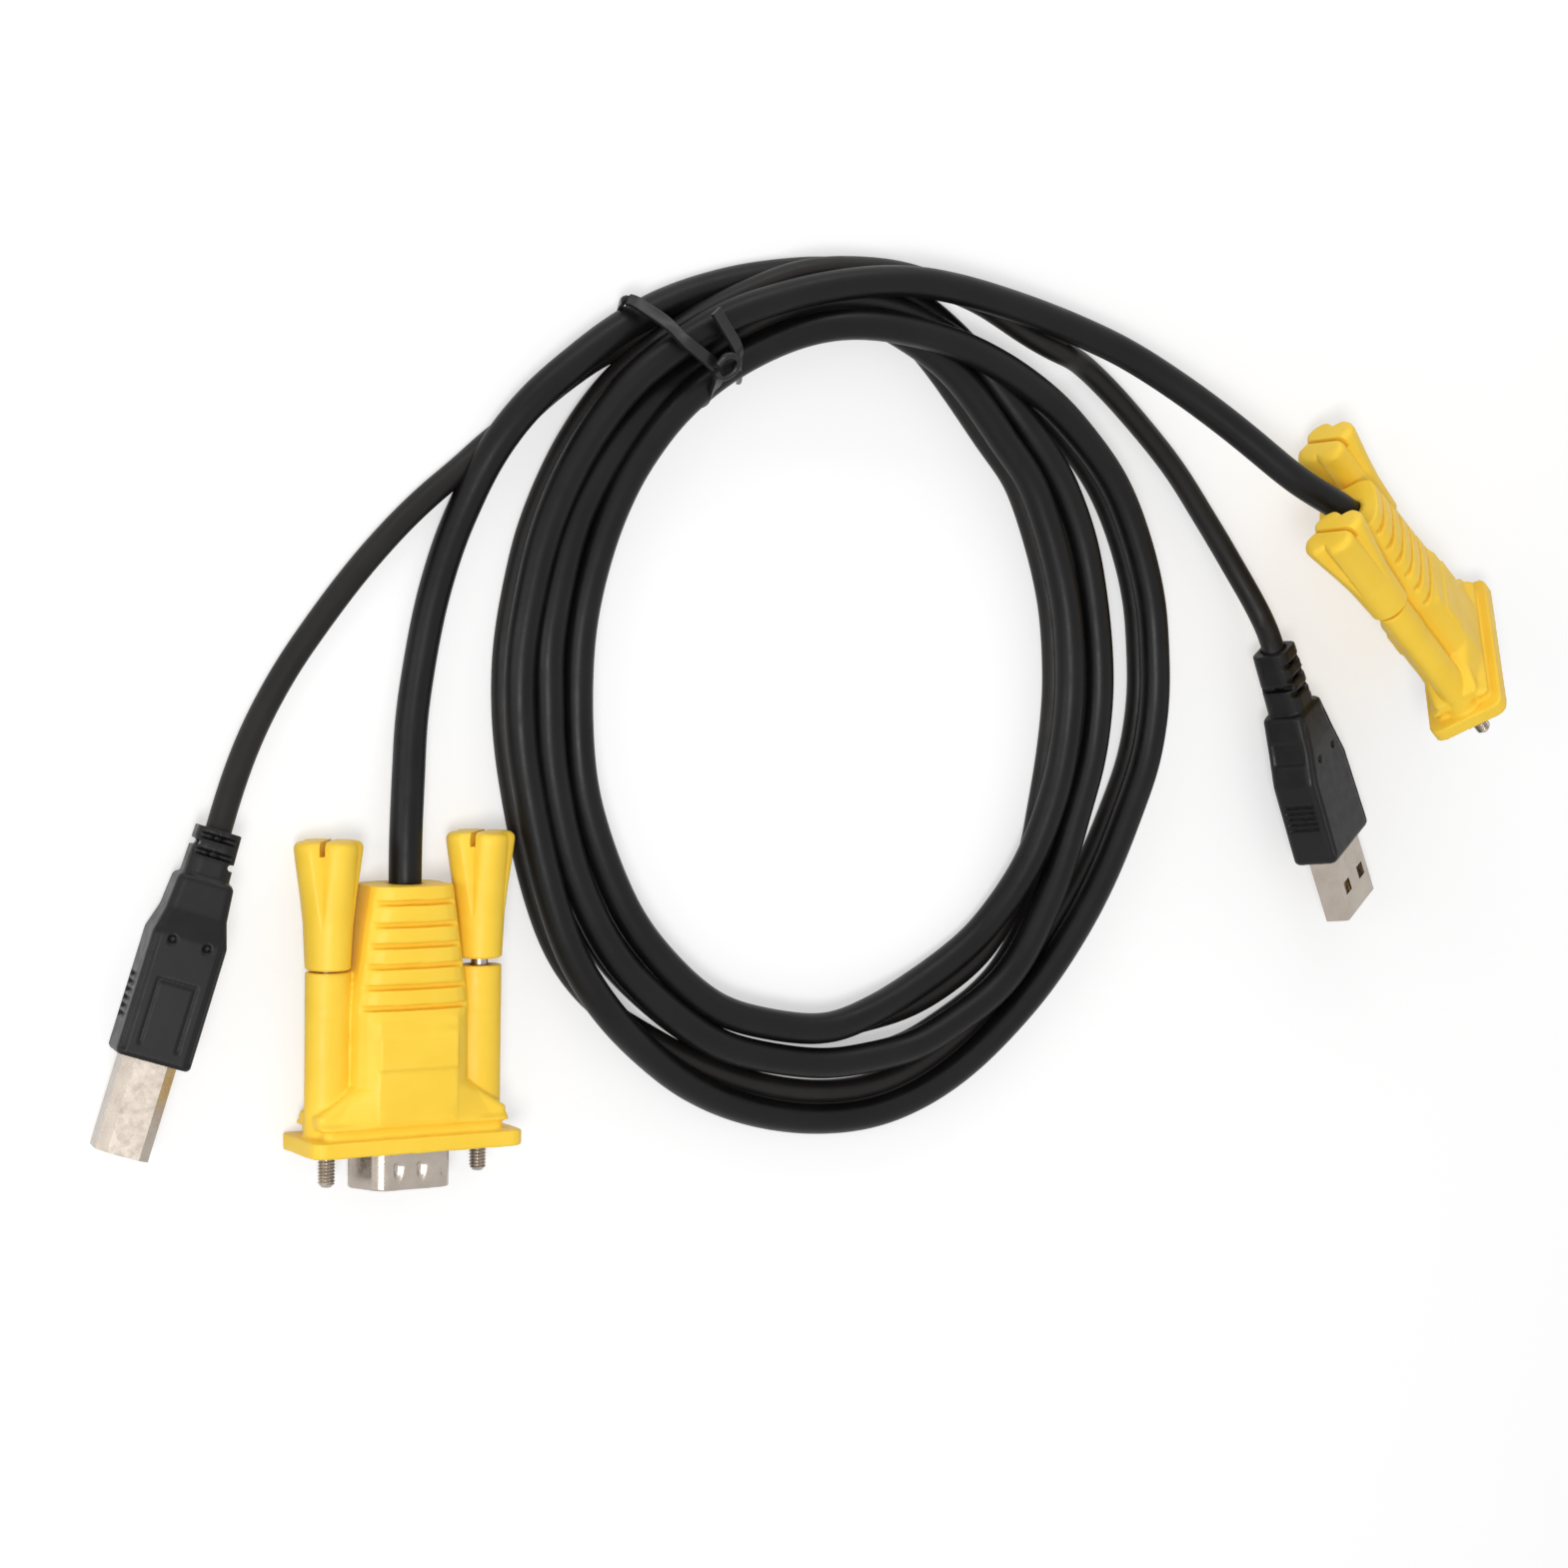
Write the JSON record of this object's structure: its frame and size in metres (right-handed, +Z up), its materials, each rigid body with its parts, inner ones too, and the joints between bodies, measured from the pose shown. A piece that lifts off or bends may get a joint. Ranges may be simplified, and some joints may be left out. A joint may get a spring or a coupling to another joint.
{
  "type": "kvm cable",
  "caption": "Coiled KVM cable with a VGA plug and a USB plug at each end, held by a twist tie.",
  "frame": {"origin": "on the table, below the middle of the box around the four plugs and the tie", "axes": "+Z up from the table; +X toward the PC end's plugs; +Y toward the tied side of the coil"},
  "size_m": [0.2596, 0.1434, 0.0337],
  "materials": {
    "yellow_plastic": "satin",
    "black_overmould": "satin",
    "black_insulator": "satin",
    "nickel_plate": "satin",
    "natural_plastic": "matt",
    "contact_plate": "satin",
    "black_pvc": "satin",
    "tie_plastic": "satin"
  },
  "bodies": {
    "cable": {"cable_coil": "black_pvc", "kvm_usb_b_contact_1": "contact_plate", "kvm_usb_b_contact_2": "contact_plate", "kvm_usb_b_contact_3": "contact_plate", "kvm_usb_b_contact_4": "contact_plate", "kvm_usb_b_inner_mould": "natural_plastic", "kvm_usb_b_insert": "natural_plastic", "kvm_usb_b_overmould": "black_overmould", "kvm_usb_b_shell": "nickel_plate", "kvm_usb_lead": "black_pvc", "kvm_vga_cable_clamp": "nickel_plate", "kvm_vga_hood": "yellow_plastic", "kvm_vga_inner_mould": "natural_plastic", "kvm_vga_lead": "black_pvc", "kvm_vga_pin_block": "black_insulator", "kvm_vga_shell": "nickel_plate", "pc_usb_a_contact_1": "contact_plate", "pc_usb_a_contact_2": "contact_plate", "pc_usb_a_contact_3": "contact_plate", "pc_usb_a_contact_4": "contact_plate", "pc_usb_a_inner_mould": "natural_plastic", "pc_usb_a_overmould": "black_overmould", "pc_usb_a_shell": "nickel_plate", "pc_usb_a_tongue": "natural_plastic", "pc_usb_lead": "black_pvc", "pc_vga_cable_clamp": "nickel_plate", "pc_vga_hood": "yellow_plastic", "pc_vga_inner_mould": "natural_plastic", "pc_vga_lead": "black_pvc", "pc_vga_pin_block": "black_insulator", "pc_vga_shell": "nickel_plate", "twist_tie": "tie_plastic"},
    "kvm_left_thumbscrew": {"kvm_vga_left_knob": "yellow_plastic", "kvm_vga_left_screw": "nickel_plate"},
    "kvm_right_thumbscrew": {"kvm_vga_right_knob": "yellow_plastic", "kvm_vga_right_screw": "nickel_plate"},
    "pc_left_thumbscrew": {"pc_vga_left_knob": "yellow_plastic", "pc_vga_left_screw": "nickel_plate"},
    "pc_right_thumbscrew": {"pc_vga_right_knob": "yellow_plastic", "pc_vga_right_screw": "nickel_plate"}
  },
  "joints": [
    {"name": "kvm_left_thumbscrew_turn", "type": "hinge", "parent": "cable", "child": "kvm_left_thumbscrew", "pos_m": [-0.09358, -0.0608, 0.00699], "axis": [-0.0384, -0.9987, 0.0349], "continuous": true},
    {"name": "kvm_right_thumbscrew_turn", "type": "hinge", "parent": "cable", "child": "kvm_right_thumbscrew", "pos_m": [-0.0686, -0.06175, 0.00699], "axis": [-0.0384, -0.9987, 0.0349], "continuous": true},
    {"name": "pc_left_thumbscrew_turn", "type": "hinge", "parent": "cable", "child": "pc_left_thumbscrew", "pos_m": [0.12467, 0.01116, 0.00602], "axis": [0.7266, -0.6823, -0.0802], "continuous": true},
    {"name": "pc_right_thumbscrew_turn", "type": "hinge", "parent": "cable", "child": "pc_right_thumbscrew", "pos_m": [0.11315, -0.00311, 0.02301], "axis": [0.7266, -0.6823, -0.0802], "continuous": true}
  ]
}
